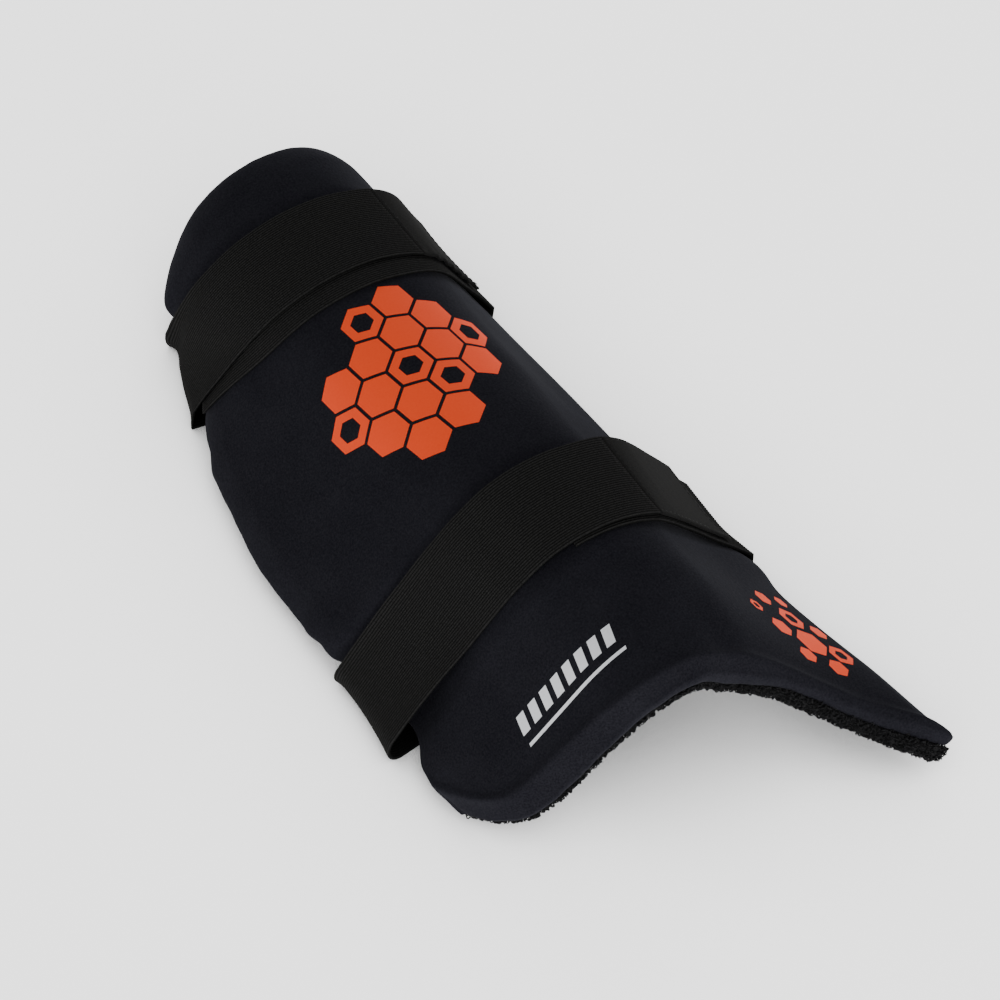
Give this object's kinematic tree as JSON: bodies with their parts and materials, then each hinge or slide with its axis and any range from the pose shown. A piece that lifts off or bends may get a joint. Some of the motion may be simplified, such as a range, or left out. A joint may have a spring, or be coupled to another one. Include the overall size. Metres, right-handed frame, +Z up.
{
  "type": "thigh pad",
  "caption": "Arched foam thigh guard with stretch cover, towelling lining and elastic straps closed by hook tabs, lying hollow side down.",
  "frame": {"origin": "middle of the footprint, on the surface that the pad lies on", "axes": "+X across the thigh to the right, +Y along the thigh from the open knee end to the rounded top, +Z up out of the crown"},
  "size_m": [0.2228, 0.4296, 0.0984],
  "materials": {
    "cover": "dark navy-black stretch knit with a slight sheen, orange and white prints",
    "towelling": "black looped towelling",
    "elastic": "black ribbed woven elastic, matt",
    "hook_tab": "black smooth woven hook tape, sewn along its edges"
  },
  "bodies": {
    "root": {"pad_shell": "cover", "terry_lining": "towelling", "lower_strap": "elastic", "lower_underband": "elastic", "lower_tab": "hook_tab", "upper_strap": "elastic", "upper_underband": "elastic", "upper_tab": "hook_tab"}
  },
  "joints": []
}
